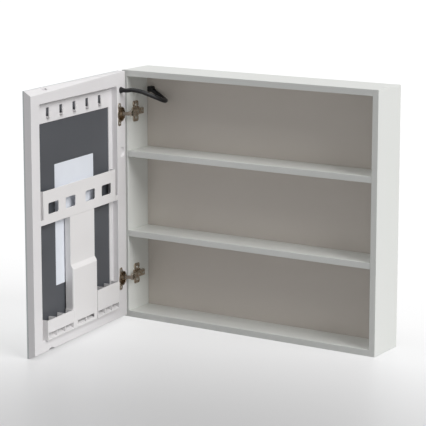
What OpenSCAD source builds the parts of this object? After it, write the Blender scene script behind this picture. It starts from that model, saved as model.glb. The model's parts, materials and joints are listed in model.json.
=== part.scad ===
// Wall-hung mirror cabinet with a lighted mirror door, shown with its door open.
// Everything is drawn with the door shut, in a corner frame: X to the right, Y from the
// carcase's front edge to the wall, Z up from its underside. home() then moves the corner
// frame so that the origin is midway between the two wall keyholes, on the wall plane.

/* [Carcase] */
// Outside width of the carcase
cabinet_w = 740; // [680:5:900]
// Outside height of the carcase
cabinet_h = 650; // [645:1:760]
// Depth of the carcase, front edge to wall
cabinet_d = 116; // [112:1:160]
// Thickness of the coated boards
board_t = 16; // [15:0.5:19]
// Thickness of the back panel
back_t = 4; // [3:0.5:6]
// Hollow left between the back panel and the wall
rear_hollow = 20; // [18:0.5:24]
// Depth of the groove that holds the back panel
groove_depth = 5; // [3:0.5:6]
// Play of the back panel in its groove, all round
groove_play = 0.2; // [0.1:0.05:0.4]
// Diameter of the corner dowels
dowel_d = 8; // [6:1:8]
// Length of the corner dowels
dowel_len = 30; // [24:1:32]
// Share of a dowel that sits in the side panel
dowel_in_side = 11; // [9:0.5:12]

/* [Shelves] */
// Underside of the lower shelf
lower_shelf_z = 215; // [200:1:225]
// Underside of the upper shelf
upper_shelf_z = 425; // [410:1:440]
// Thickness of a shelf
shelf_t = 16; // [12:0.5:18]
// Step of a shelf's front edge behind the carcase's front edge
shelf_setback = 1; // [0.5:0.5:10]
// Play at each end and at the back of a shelf
shelf_play = 0.3; // [0.1:0.1:0.6]
// Diameter of a shelf pin
shelf_pin_d = 5; // [3:0.5:6]
// Length of a shelf pin that shows
shelf_pin_out = 8; // [6:0.5:12]
// Length of a shelf pin in the side panel
shelf_pin_in = 9; // [6:0.5:11]

/* [Wall fixing] */
// Distance of the keyholes' round entries below the carcase's top
keyhole_drop = 54; // [50:1:60]
// Distance between the two keyholes
keyhole_spacing = 560; // [400:5:600]
// Diameter of a keyhole's round entry
keyhole_d = 12; // [10:0.5:14]
// Width of a keyhole's slot
keyhole_slot = 6; // [5:0.5:7]
// Travel from the round entry up to the seat
keyhole_rise = 11; // [10:0.5:13]
// Width and height of a hanging plate
hanging_plate = [46, 62]; // [40:1:70]
// Thickness of a hanging plate
hanging_plate_t = 2; // [1.5:0.5:3]
// Height of the rail that carries the plates
rail_h = 70; // [66:1:90]
// Depth of the pocket behind a keyhole
pocket_depth = 9; // [8:0.5:12]

/* [Door] */
// Width of the door
door_w = 450; // [440:1:480]
// Height left bare above the door, and below it
door_reveal_z = [1, 0]; // [0:0.5:3]
// Step of the door's hinge edge in from the carcase's side
door_reveal_x = 1; // [0.5:0.5:2]
// Gap between the shut door and the carcase
door_gap = 2; // [1.5:0.25:3]
// Depth of the moulded door frame
frame_t = 18; // [17:0.5:20]
// Slope of the frame's top at the free end, and of its bottom, over the frame's depth
frame_bevel = [12, 8]; // [0:0.5:14]
// Thickness of the mirror glass
glass_t = 4; // [3:0.5:6]
// Thickness of the tape between frame and glass
tape_t = 0.5; // [0.3:0.1:1]
// Angle at which the door stands open
open_angle = 84; // [80:1:88]

/* [Door recess] */
// Margins of the recess: hinge side, free side, bottom, top
recess_margin = [42.3, 36.4, 36.5, 35.5]; // [34:0.1:46]
// Thickness of the recess floor
floor_t = 2.5; // [2:0.25:3]
// Width of the ledge round the window: sides, bottom, top
window_ledge = [17, 29.5, 51.5]; // [14:0.5:60]
// Radius of the finger scoop in the frame's bottom, and of the one in its top
scoop_r = [24, 10]; // [9:1:30]
// Bite of the bottom scoop, and of the top one, below the line of the free end's bevel
scoop_depth = [5, 4]; // [2:0.5:6]
// Distance of a finger scoop's middle from the free edge
scoop_from_edge = 75; // [60:1:90]
// Thickness of the lip that the top scoop leaves at the frame's inner face
scoop_lip = 6; // [4:0.5:8]
// Diameter of the round dish at the middle of the hinge side
dish_d = 26; // [16:1:30]
// Depth of the dish
dish_depth = 5; // [2:0.5:8]
// Middle of the dish, from the door's hinge edge
dish_from_edge = 17.5; // [17:0.5:20]

/* [Door hooks] */
// Number of hooks
hook_count = 5; // [3:1:6]
// Distance between hooks
hook_pitch = 61.7; // [50:0.1:64]
// Width of a hook and its slot
hook_w = 13.5; // [11:0.5:16]
// Height of the slot behind a hook
hook_slot_h = 20.5; // [18:0.5:24]
// Height of a hook's tongue
hook_tongue_h = 14; // [10:0.5:17]
// Stand-off of a hook's tongue from the strip
hook_reach = 9; // [6:0.5:10]
// Wall of a hook
hook_t = 2.2; // [1.8:0.1:2.8]
// Height of the slots' lower edge above the window
hook_above_window = 15.5; // [12:0.5:18]

/* [Door organiser] */
// Wall of the organiser mouldings
wall = 2.5; // [2:0.1:3]
// Underside of the crossbar
bar_z = 320; // [300:1:330]
// Height of the crossbar
bar_h = 82; // [70:1:86]
// Gap between the crossbar and the recess at each end
bar_gap = 11.6; // [8:0.2:16]
// Width and height of a crossbar window
bar_window = [47, 27]; // [20:1:50]
// Middles of the inner and the outer crossbar windows, from the recess's middle
bar_window_at = [47.5, 127.5]; // [40:0.5:140]
// Height of the clip tab at each end of the crossbar
bar_tab_h = 13; // [6:0.5:16]
// Width of the stem
stem_w = 117; // [100:1:130]
// Step of the stem's middle from the recess's middle
stem_shift = -6.3; // [-12:0.1:12]
// Height at which the stem's pocket begins
pocket_top = 198; // [180:1:200]
// Height of the pocket's sloped shoulder
pocket_slope = 11; // [6:1:16]
// Stand-out of the pocket and the trays from the door's inner face
tray_proud = 8; // [6:0.5:10]
// Top of the tray at the free side and of the one at the hinge side
tray_top = [86, 109]; // [70:1:130]
// Lower and upper edge of the slots at the foot of the trays
tray_slot = [39.5, 54.5]; // [39:0.5:60]
// Rise of a tray's floor from the slots to the mirror
floor_rise = 10; // [4:0.5:12]
// Rounding of the pocket's upright edges
pocket_round = 5; // [2:0.5:7]
// Chambers in a tray
tray_chambers = 3; // [2:1:4]

/* [Demister and light] */
// Width and height of the demister pad
pad_size = [185, 301.5]; // [100:0.5:310]
// Height of the pad's lower edge
pad_z = 153.5; // [140:0.5:180]
// Thickness of the demister pad
pad_t = 0.5; // [0.3:0.1:0.8]
// Thickness of the film on the mirror's back
film_t = 0.3; // [0.2:0.1:0.5]
// Width of a light strip's board
strip_w = 10; // [8:0.5:12]
// Thickness of a light strip with its chips
strip_t = 2; // [1.5:0.1:2.5]
// Thickness of the diffuser over a light strip
diffuser_t = 1; // [0.8:0.1:1.2]
// Distance of a light channel's middle from the door's edge
channel_from_edge = 19; // [16:0.5:20]
// Width of a light channel
channel_w = 12; // [11:0.5:13]
// Driver's width, depth and height
driver_size = [150, 16, 42]; // [14:0.5:180]

/* [Hinges] */
// Height of each hinge's middle from the nearer end of the carcase
hinge_from_end = 110; // [90:1:130]
// Diameter of the hinge cup
cup_d = 35; // [26:0.5:35]
// Depth of the hinge cup
cup_depth = 11.5; // [11:0.25:12.5]
// Wall of the hinge cup
cup_wall = 1; // [0.8:0.1:1.2]
// Wood left between the door's edge and the cup
cup_from_edge = 3.5; // [3:0.25:5]
// Thickness of the cup's flange
flange_t = 1.2; // [1:0.1:1.5]
// Distance between the flange's screws
flange_screws = 45; // [42:0.5:52]
// Offset of the flange's screws from the cup's middle
flange_offset = 9.5; // [7:0.5:10]
// Turning point of the door: in from the side, and out from the front edge
pole = [4.5, 15.5]; // [4:0.25:16]
// Link's far end with the door shut: in from the side, and out from the front edge
link_end = [13, 2.5]; // [2:0.1:14]
// Distance from the door's turning point to the arm's pin
arm_reach = 30; // [29:0.1:31]
// Diameter of the arm's pin
arm_pin_d = 3; // [2.5:0.25:3]
// Running clearance round the arm's pin
pin_play = 0.05; // [0.02:0.01:0.1]
// Height of the hinge link
link_h = 9; // [8:0.5:10]
// Wall of the hinge arm
arm_wall = 1.2; // [1:0.1:1.5]
// Height of the hinge arm
arm_h = 15; // [14:0.5:17]
// Distance of the mounting plate's screws from the front edge
plate_line = 37; // [32:1:38]
// Distance between the mounting plate's screws
plate_screws = 32; // [32:1:34]

/* [Cable] */
// Diameter of the door cable
cable_d = 11; // [8:0.5:12]
// Distance of the door gland's middle below the carcase's top
gland_drop = 48; // [44:1:54]
// Distance of the door gland from the door's edge
gland_from_edge = 23; // [20:0.5:24]
// Flange of the door gland
gland_flange_d = 17; // [15:0.5:19]
// Stand-out of the door gland
gland_out = 7; // [5:0.5:9]
// Middle of the back panel's cable boot: in from the side, and below the gland
boot_from_gland = [32, 9]; // [4:0.5:40]

/* [Hidden] */

$fn = 48;
hinge_heights = [cabinet_h - hinge_from_end, hinge_from_end];
keyhole_z = cabinet_h - keyhole_drop;
gland_z = cabinet_h - gland_drop;
boot_at = [boot_from_gland[0], gland_z - boot_from_gland[1]];

back_y = cabinet_d - rear_hollow - back_t;
inner_w = cabinet_w - 2 * board_t;
inner_h = cabinet_h - 2 * board_t;

door_x0 = door_reveal_x;
door_x1 = door_x0 + door_w;
door_z0 = door_reveal_z[1];
door_z1 = cabinet_h - door_reveal_z[0];
face_y = -door_gap;
frame_back_y = face_y - frame_t;
glass_y = frame_back_y - tape_t - glass_t;

recess_x0 = door_x0 + recess_margin[0];
recess_x1 = door_x1 - recess_margin[1];
recess_z0 = door_z0 + recess_margin[2];
recess_z1 = door_z1 - recess_margin[3];
recess_mid = (recess_x0 + recess_x1) / 2;
floor_y = frame_back_y + floor_t;
window_x0 = recess_x0 + window_ledge[0];
window_x1 = recess_x1 - window_ledge[0];
window_z0 = recess_z0 + window_ledge[1];
window_z1 = recess_z1 - window_ledge[2];
film_y = frame_back_y - tape_t + film_t;

pole_x = pole[0];
pole_y = -pole[1];
link_shut = [link_end[0], -link_end[1]];
link_start_angle = atan2(link_shut[1] - pole_y, link_shut[0] - pole_x);
arm_pin = [pole_x, pole_y]
    + arm_reach * [cos(link_start_angle - open_angle / 2), sin(link_start_angle - open_angle / 2)];
link_open = [pole_x, pole_y]
    + norm(link_shut - [pole_x, pole_y])
    * [cos(link_start_angle - open_angle), sin(link_start_angle - open_angle)];
link_len = norm(link_open - arm_pin);
link_angle = atan2(link_open[1] - arm_pin[1], link_open[0] - arm_pin[0]);

cup_x = door_x0 + cup_from_edge + cup_d / 2;

// Route of the door cable's middle line with the door open: X and Y in the corner frame and
// the height above the gland's middle, for a back panel at cable_back
cable_back = 92;
cable_points = [
    [27.2, -32.7, 0], [37, -31.7, 0], [49.3, -29, 1.6], [62.2, -25.3, 0.8], [74.6, -20.3, -1.7],
    [86, -14.2, -6.2], [96, -6.5, -11.4], [103.9, 3.1, -16.9], [108.7, 14.6, -22.3],
    [109.7, 27.3, -26.8], [106.8, 40.1, -29.7], [100.6, 51.9, -30.6], [92.1, 62.3, -31],
    [82.4, 71.4, -30.3], [71.5, 78.7, -27.9], [59.7, 83.5, -23.8], [49, 85.5, -18.9],
    [43.9, 85.5, -15.8]
];
cable_last = len(cable_points) - 1;
cable_route = [
    for (i = [0 : cable_last])
        cable_points[i] + [0, (back_y - cable_back) * i / cable_last, gland_z]
];

module home() {
    translate([-cabinet_w / 2, -cabinet_d, -keyhole_z]) children();
}

module on_door() {
    home() translate([pole_x, pole_y, 0]) rotate([0, 0, -open_angle])
        translate([-pole_x, -pole_y, 0]) children();
}

module along_x(len) {
    rotate([90, 0, 90]) linear_extrude(len) children();
}

module along_y(len) {
    rotate([-90, 0, 0]) linear_extrude(len) children();
}

module rod_x(d, len) {
    rotate([0, 90, 0]) cylinder(d = d, h = len);
}

module rod_y(d, len) {
    rotate([-90, 0, 0]) cylinder(d = d, h = len);
}

module box(low, high) {
    translate(low) cube(high - low);
}

module rounded(size, r) {
    translate([r, 0]) square([size[0] - 2 * r, size[1]]);
    translate([0, r]) square([size[0], size[1] - 2 * r]);
    for (x = [r, size[0] - r], y = [r, size[1] - r]) translate([x, y]) circle(r);
}

// A rounded slab standing in the XZ plane, from low to high
module slab_y(low, high, r) {
    translate([low[0], high[1], low[2]]) rotate([90, 0, 0])
        linear_extrude(high[1] - low[1]) rounded([high[0] - low[0], high[2] - low[2]], r);
}

// Carcase

dowel_ys = [32, back_y - 14];

module dowel_set(d, extra) {
    for (x = [board_t - dowel_in_side - extra, cabinet_w - board_t - dowel_len + dowel_in_side - extra],
         y = dowel_ys, z = [board_t / 2, cabinet_h - board_t / 2])
        translate([x, y, z]) rod_x(d, dowel_len + 2 * extra);
}

module back_groove() {
    box([board_t - groove_depth, back_y - groove_play, board_t - groove_depth],
        [cabinet_w - board_t + groove_depth, back_y + back_t + groove_play,
         cabinet_h - board_t + groove_depth]);
}

module shelf_pin_set(d, extra) {
    for (z = [lower_shelf_z, upper_shelf_z], y = [22, back_y - 20])
        translate([0, y, z - shelf_pin_d / 2]) {
            translate([board_t - shelf_pin_in - extra, 0, 0])
                rod_x(d, shelf_pin_in + shelf_pin_out + 2 * extra);
            translate([cabinet_w - board_t - shelf_pin_out - extra, 0, 0])
                rod_x(d, shelf_pin_in + shelf_pin_out + 2 * extra);
        }
}

module plate_screw_places() {
    for (z = hinge_heights, s = [-1, 1])
        translate([board_t, plate_line, z + s * plate_screws / 2]) children();
}

module side_panel(x) {
    difference() {
        translate([x, 0, 0]) cube([board_t, cabinet_d, cabinet_h]);
        back_groove();
        dowel_set(dowel_d + 0.1, 0.2);
        shelf_pin_set(shelf_pin_d + 0.1, 0.2);
        if (x == 0)
            plate_screw_places() translate([-11.5, 0, 0]) rod_x(5.1, 12);
    }
}

module side_panel_left() {
    home() color("#E6E6E5") side_panel(0);
}

module side_panel_right() {
    home() color("#E6E6E5") side_panel(cabinet_w - board_t);
}

module flat_panel(z) {
    difference() {
        translate([board_t, 0, z]) cube([inner_w, cabinet_d, board_t]);
        back_groove();
        dowel_set(dowel_d + 0.1, 0.2);
    }
}

module top_panel() {
    home() color("#E6E6E5") flat_panel(cabinet_h - board_t);
}

module bottom_panel() {
    home() color("#E6E6E5") flat_panel(0);
}

module back_panel() {
    edge = groove_depth - groove_play;
    home() color("#8C8780") difference() {
        box([board_t - edge, back_y, board_t - edge],
            [cabinet_w - board_t + edge, back_y + back_t, cabinet_h - board_t + edge]);
        translate([boot_at[0], back_y - 1, boot_at[1]]) rod_y(boot_neck_d + 0.2, back_t + 2);
    }
}

module corner_dowels() {
    home() color("#C9A878") dowel_set(dowel_d, 0);
}

module shelf(z) {
    box([board_t + shelf_play, shelf_setback, z],
        [cabinet_w - board_t - shelf_play, back_y - shelf_play, z + shelf_t]);
}

module shelf_upper() {
    home() color("#DADAD8") shelf(upper_shelf_z);
}

module shelf_lower() {
    home() color("#DADAD8") shelf(lower_shelf_z);
}

module shelf_pins() {
    home() color("#B9B9B6") shelf_pin_set(shelf_pin_d, 0);
}

// Wall fixing

rail_play = 0.3;
rail_y0 = back_y + back_t + rail_play;
rail_y1 = cabinet_d - hanging_plate_t;
rail_top = cabinet_h - board_t;
plate_low = keyhole_z - 24;

module at_keyholes() {
    for (s = [-1, 1]) translate([cabinet_w / 2 + s * keyhole_spacing / 2, 0, keyhole_z]) children();
}

module keyhole_cut(d, slot, y0, len) {
    translate([0, y0, 0]) rod_y(d, len);
    translate([0, y0, keyhole_rise]) rod_y(slot, len);
    translate([-slot / 2, y0, 0]) cube([slot, len, keyhole_rise]);
}

module rail_screw_places() {
    at_keyholes() for (x = [-1, 1], z = [-1, 1])
        translate([x * (hanging_plate[0] / 2 - 6), 0, plate_low - keyhole_z + hanging_plate[1] / 2
                   + z * (hanging_plate[1] / 2 - 6)])
            children();
}

module hanging_rail() {
    home() color("#D8C6A4") difference() {
        box([board_t + rail_play, rail_y0, rail_top - rail_h],
            [cabinet_w - board_t - rail_play, rail_y1, rail_top - rail_play]);
        at_keyholes()
            keyhole_cut(keyhole_d + 6, keyhole_d + 4, rail_y1 - pocket_depth, pocket_depth + 1);
        rail_screw_places() translate([0, rail_y1 - 10.2, 0]) rod_y(3.1, 11);
        translate([boot_at[0], rail_y0 - 1, boot_at[1]]) rod_y(2 * boot_w, cabinet_d);
    }
}

module lower_rail() {
    home() color("#D8C6A4")
        box([board_t + rail_play, rail_y0, board_t + rail_play],
            [cabinet_w - board_t - rail_play, cabinet_d, board_t + rail_h / 2]);
}

module hanging_plate_at(s) {
    home() color("#B4B6B8") difference() {
        translate([cabinet_w / 2 + s * keyhole_spacing / 2 - hanging_plate[0] / 2, rail_y1, plate_low])
            slab_y([0, 0, 0], [hanging_plate[0], hanging_plate_t, hanging_plate[1]], 5);
        at_keyholes() keyhole_cut(keyhole_d, keyhole_slot, rail_y1 - 1, hanging_plate_t + 2);
        rail_screw_places() translate([0, rail_y1 - 1, 0]) rod_y(3.6, hanging_plate_t + 2);
    }
}

module hanging_plate_left() {
    hanging_plate_at(-1);
}

module hanging_plate_right() {
    hanging_plate_at(1);
}

module hanging_screws() {
    home() color("#C8C8C6") rail_screw_places() {
        translate([0, rail_y1 - 10, 0]) rod_y(3, 10);
        translate([0, rail_y1, 0]) rod_y(3, hanging_plate_t - 1.2);
        translate([0, cabinet_d - 1.2, 0]) rod_y(3.4, 1.2);
    }
}

// Electric parts in the rear hollow

boot_neck_d = 12;
driver_x0 = boot_at[0] - 14;
driver_y0 = rail_y0;
driver_z1 = rail_top - rail_h - 2;

module led_driver() {
    foot = 12;
    low = [driver_x0 + foot, driver_y0, driver_z1 - driver_size[2]];
    high = low + driver_size;
    home() color("#F0F0EE") difference() {
        union() {
            slab_y(low, high, 3);
            slab_y([low[0] - foot, low[1], low[2] + 8], [high[0] + foot, low[1] + 3, high[2] - 8], 3);
        }
        for (x = [low[0] - foot / 2, high[0] + foot / 2])
            translate([x, low[1] - 1, (low[2] + high[2]) / 2]) rod_y(3.4, 6);
    }
}

module driver_screws() {
    foot = 12;
    z = driver_z1 - driver_size[2] / 2;
    home() color("#C8C8C6")
        for (x = [driver_x0 + foot / 2, driver_x0 + 1.5 * foot + driver_size[0]]) translate([x, 0, z]) {
            translate([0, driver_y0, 0]) rod_y(3.2, 3);
            translate([0, driver_y0 + 3, 0]) rod_y(6, 1.8);
        }
}

boot_w = 15;
boot_deep = 13;
boot_gap = 0.3;
cable_end = cable_route[cable_last];
boot_way = [cable_end[0] - boot_at[0], boot_at[1] - cable_end[2]];

// The boot takes the cable from its slope along the back panel to straight through it
module cable_boot() {
    x0 = boot_at[0] - boot_w / 2;
    home() color("#262626") difference() {
        union() {
            slab_y([x0, back_y - boot_deep, boot_at[1] - boot_w / 2],
                   [x0 + boot_w, back_y, boot_at[1] + boot_w / 2], 4);
            translate([boot_at[0], back_y, boot_at[1]]) rod_y(boot_neck_d, back_t + 6);
            translate([boot_at[0], back_y - boot_deep / 2, boot_at[1]])
                rotate([0, atan2(boot_way[1], boot_way[0]), 0])
                    rod_x(boot_deep - 0.6, norm(boot_way) - boot_gap);
        }
    }
}

// Hinge parts on the carcase

plate_wing_t = 2.2;
plate_body_t = 3.4;
plate_screw_len = 11;

// Wings with rounded corners round the screws, a body between them and a tail to the rear
module hinge_plate(z) {
    wing = [24, plate_screws + 22];
    home() color("#B8B3A8") translate([board_t, plate_line, z]) difference() {
        union() {
            for (s = [0, 1]) mirror([0, 0, s])
                translate([0, -wing[0] / 2 - 1, wing[1] / 2 - 15])
                    rotate([90, 0, 90]) linear_extrude(plate_wing_t) rounded([wing[0], 15], 5);
            translate([0, -wing[0] / 2 + 2, -wing[1] / 2 + 8])
                rotate([90, 0, 90]) linear_extrude(plate_wing_t) square([wing[0] - 6, wing[1] - 16]);
            translate([0, -17, -11.5]) rotate([90, 0, 90]) linear_extrude(plate_body_t) rounded([30, 23], 4);
            translate([0, -11, -5.8]) cube([8, 34, 11.6]);
            translate([0, -17, -7]) rotate([90, 0, 90]) linear_extrude(plate_wing_t) rounded([47, 14], 3);
        }
        for (s = [-1, 1]) translate([-1, 0, s * plate_screws / 2]) rod_x(5.1, 4);
        box([-1, 24.5, -2.6], [3, 31, 2.6]);
    }
}

module hinge_plate_upper() {
    hinge_plate(hinge_heights[0]);
}

module hinge_plate_lower() {
    hinge_plate(hinge_heights[1]);
}

module hinge_plate_screws() {
    home() color("#CFCBC2") plate_screw_places() {
        translate([-plate_screw_len, 0, 0]) rod_x(5, plate_screw_len + plate_wing_t);
        translate([plate_wing_t, 0, 0]) cylinder_head();
    }
}

module cylinder_head() {
    rotate([0, 90, 0]) cylinder(d1 = 8, d2 = 6, h = 2);
}

arm_web_x = board_t + 10.5;
arm_back_y = plate_line + 25;

// Outline of a cheek, seen along Z: the boss round the pin, the neck and the long back
module arm_cheek_outline() {
    translate(arm_pin) circle(3.2);
    polygon([
        [arm_pin[0] - 3.2, arm_pin[1]], [arm_pin[0] + 3.2, arm_pin[1]],
        [arm_web_x + 6.6, 3], [arm_web_x + 2.6, 12], [arm_web_x + arm_wall, 19],
        [arm_web_x + arm_wall, arm_back_y - 4], [arm_web_x - 3, arm_back_y],
        [board_t + plate_body_t, arm_back_y], [board_t + plate_body_t, 20],
        [board_t + 7, 10], [board_t + 13, 0]
    ]);
}

// Everything between the cheeks but the web, which stops short of the link
module arm_inner_outline() {
    translate([board_t - 2, arm_pin[1] - 10]) square([30, 18 - arm_pin[1]]);
    polygon([
        [board_t + 2, 8], [arm_web_x + 3, 8], [arm_web_x + 1.2, 12],
        [arm_web_x, 19], [arm_web_x, arm_back_y + 1], [board_t + 2, arm_back_y + 1]
    ]);
}

module hinge_arm(z) {
    inner_h = arm_h - 2 * arm_wall;
    home() color("#BDB8AD") translate([0, 0, z]) difference() {
        translate([0, 0, -arm_h / 2]) linear_extrude(arm_h) arm_cheek_outline();
        translate([0, 0, -inner_h / 2]) linear_extrude(inner_h) arm_inner_outline();
        translate([arm_pin[0], arm_pin[1], -arm_h]) cylinder(d = arm_pin_d + 0.02, h = 2 * arm_h);
        for (y = adjuster_ys) translate([arm_web_x - 1, y, 0]) rod_x(5.2, 4);
    }
}

adjuster_ys = [plate_line - 5, plate_line + 14];

module hinge_arm_upper() {
    hinge_arm(hinge_heights[0]);
}

module hinge_arm_lower() {
    hinge_arm(hinge_heights[1]);
}

module arm_adjusters() {
    home() color("#D6D2C8") for (z = hinge_heights, y = adjuster_ys)
        translate([board_t + 8, y, z]) {
            rod_x(5, arm_web_x - board_t - 8 + arm_wall + 0.6);
        }
}

module arm_pins() {
    home() color("#CFCBC2") for (z = hinge_heights)
        translate([arm_pin[0], arm_pin[1], z - arm_h / 2 - 0.3]) cylinder(d = arm_pin_d, h = arm_h + 0.6);
}

// A bowed link, drawn along X from the arm's pin and turned to its place with the door open
module hinge_link(z) {
    home() color("#B8B3A8")
        translate([arm_pin[0], arm_pin[1], z - link_h / 2]) rotate([0, 0, link_angle]) difference() {
            linear_extrude(link_h) {
                circle(2.6);
                polygon([
                    [0, -2.6], [link_len * 0.35, 0.4], [link_len * 0.75, 0.4], [link_len, -1.5],
                    [link_len, 1.5], [link_len * 0.75, 4], [link_len * 0.35, 4.6], [0, 2.6]
                ]);
                translate([link_len, 0]) circle(1.5);
            }
            translate([0, 0, -1]) cylinder(d = arm_pin_d + 2 * pin_play, h = link_h + 2);
        }
}

module hinge_link_upper() {
    hinge_link(hinge_heights[0]);
}

module hinge_link_lower() {
    hinge_link(hinge_heights[1]);
}

// Door

module at_cups() {
    for (z = hinge_heights) translate([cup_x, 0, z]) children();
}

module flange_screw_places() {
    at_cups() for (s = [-1, 1]) translate([flange_offset, 0, s * flange_screws / 2]) children();
}

module frame_blank() {
    translate([door_x0, 0, 0]) along_x(door_w) polygon([
        [face_y, door_z0 + frame_bevel[1]], [face_y, door_z1],
        [frame_back_y, door_z1], [frame_back_y, door_z0]
    ]);
}

// The slope along the frame's top, full at the free end and gone at the hinge end
module top_slope() {
    up = [frame_bevel[0] / door_w, frame_bevel[0] / frame_t, 1];
    reach = door_w + 100;
    translate([door_x0, face_y, door_z1]) rotate(a = acos(1 / norm(up)), v = [-up[1], up[0], 0])
        box([-reach, -reach, 0], [reach, reach, 40]);
}

scoop_x = door_x1 - scoop_from_edge;

module scoops() {
    low = door_z0 + frame_bevel[1] + scoop_depth[0] - scoop_r[0];
    high = door_z1 - frame_bevel[0] - scoop_depth[1] + scoop_r[1];
    translate([scoop_x, frame_back_y + 4, low]) rod_y(2 * scoop_r[0], frame_t);
    translate([scoop_x, frame_back_y + 4, high]) rod_y(2 * scoop_r[1], frame_t - scoop_lip - 4);
}

// A dish moulded into the face, with sloping sides
module dish() {
    translate([door_x0 + dish_from_edge, face_y, upper_shelf_z + shelf_t]) rotate([90, 0, 0]) {
        translate([0, 0, -1]) cylinder(d = dish_d, h = 1);
        cylinder(d1 = dish_d, d2 = dish_d - 1.4 * dish_depth, h = dish_depth);
    }
}

channel_depth = strip_t + diffuser_t + 0.3;
channel_xs = [door_x0 + channel_from_edge, door_x1 - channel_from_edge];
channel_z0 = recess_z0;
channel_z1 = recess_z1;

module channels() {
    for (x = channel_xs)
        box([x - channel_w / 2, frame_back_y - 1, channel_z0],
            [x + channel_w / 2, frame_back_y + channel_depth, channel_z1]);
}

hook_z0 = window_z1 + hook_above_window;

module at_hooks() {
    for (i = [0 : hook_count - 1])
        translate([recess_mid + (i - (hook_count - 1) / 2) * hook_pitch, 0, hook_z0]) children();
}

module door_frame() {
    on_door() color("#DEDCDC") difference() {
        frame_blank();
        top_slope();
        slab_y([recess_x0, floor_y, recess_z0], [recess_x1, face_y + 1, recess_z1], 5);
        slab_y([window_x0, frame_back_y - 1, window_z0], [window_x1, floor_y + 1, window_z1], 3);
        at_hooks() box([-hook_w / 2, frame_back_y - 1, 0], [hook_w / 2, floor_y + 1, hook_slot_h]);
        scoops();
        channels();
        at_cups() translate([0, face_y - cup_depth - 0.2, 0]) rod_y(cup_d + 0.2, cup_depth + 2);
        flange_screw_places() translate([0, face_y - 9.2, 0]) rod_y(3.1, 10);
        translate([door_x0 + gland_from_edge, frame_back_y - 1, gland_z]) rod_y(gland_neck_d + 0.2, frame_t + 2);
        dish();
    }
}

module mirror_glass() {
    on_door() color("#C9D2D6")
        box([door_x0, glass_y, door_z0], [door_x1, glass_y + glass_t, door_z1]);
}

module mirror_film() {
    edge = 6;
    on_door() color("#55585B")
        box([window_x0 - edge, frame_back_y - tape_t, window_z0 - edge],
            [window_x1 + edge, film_y, window_z1 + edge + hook_above_window + hook_slot_h]);
}

module demister_pad() {
    on_door() color("#DEE2EA")
        slab_y([recess_mid - pad_size[0] / 2, film_y, pad_z],
               [recess_mid + pad_size[0] / 2, film_y + pad_t, pad_z + pad_size[1]], 2);
}

// Four strips of tape, outside the film and inside the light channels
module glass_tape() {
    edge = 6.5;
    x0 = window_x0 - edge;
    x1 = window_x1 + edge;
    z0 = window_z0 - edge;
    z1 = window_z1 + edge + hook_above_window + hook_slot_h;
    y0 = frame_back_y - tape_t;
    on_door() color("#2E2E2E") {
        box([x0 - 6, y0, z0 - 10], [x1 + 6, frame_back_y, z0]);
        box([x0 - 6, y0, z1], [x1 + 6, frame_back_y, z1 + 8]);
        box([x0 - 6, y0, z0], [x0, frame_back_y, z1]);
        box([x1, y0, z0], [x1 + 6, frame_back_y, z1]);
    }
}

// The cup with its flange, and two lugs inside it that the link's end runs between
module hinge_cup(z) {
    on_door() color("#B8B3A8") translate([cup_x, face_y, z]) {
        difference() {
            union() {
                translate([0, -cup_depth, 0]) rod_y(cup_d, cup_depth);
                rod_y(cup_d + 3, flange_t);
                slab_y([flange_offset - 7, 0, -flange_screws / 2 - 7],
                       [flange_offset + 7, flange_t, flange_screws / 2 + 7], 5);
            }
            translate([0, cup_wall - cup_depth, 0]) rod_y(cup_d - 2 * cup_wall, cup_depth + 4);
            for (s = [-1, 1]) translate([flange_offset, -1, s * flange_screws / 2]) rod_y(3.4, 4);
        }
        for (s = [0, 1]) mirror([0, 0, s])
            box([0.7 - cup_d / 2 + cup_wall, cup_wall - cup_depth - 0.2, link_h / 2 + 0.4],
                [-4.5, -0.2, link_h / 2 + 1.6]);
    }
}

module hinge_cup_upper() {
    hinge_cup(hinge_heights[0]);
}

module hinge_cup_lower() {
    hinge_cup(hinge_heights[1]);
}

module cup_screws() {
    on_door() color("#CFCBC2") flange_screw_places() {
        translate([0, face_y - 9, 0]) rod_y(3, 9 + flange_t);
        translate([0, face_y + flange_t, 0]) rotate([-90, 0, 0]) cylinder(d1 = 6.4, d2 = 4.6, h = 0.6);
    }
}

// Each hook springs from the lower edge of its slot and turns up in front of it
module door_hooks() {
    out = floor_y + hook_reach;
    on_door() color("#E2E0E0") at_hooks() {
        box([-hook_w / 2, floor_y, -hook_t], [hook_w / 2, out, 0]);
        box([-hook_w / 2, out - hook_t, 0], [hook_w / 2, out, hook_tongue_h - hook_w / 3]);
        translate([0, out, hook_tongue_h - hook_w / 2]) intersection() {
            rotate([90, 0, 0]) cylinder(d = hook_w, h = hook_t);
            box([-hook_w, -hook_w, hook_w / 2 - hook_w / 3], [hook_w, hook_w, hook_w]);
        }
    }
}

// The organiser clips into the recess in front of the mirror's back

bar_x0 = recess_x0 + bar_gap;
bar_x1 = recess_x1 - bar_gap;
rest_y = floor_y + 0.3;
bar_window_z = bar_z + bar_h / 2 - 4;

module bar_windows() {
    for (side = [-1, 1], at = bar_window_at)
        translate([recess_mid + side * at, 0, bar_window_z])
            slab_y([-bar_window[0] / 2, face_y - wall - 1, -bar_window[1] / 2],
                   [bar_window[0] / 2, face_y + 1, bar_window[1] / 2], 4);
}

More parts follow.
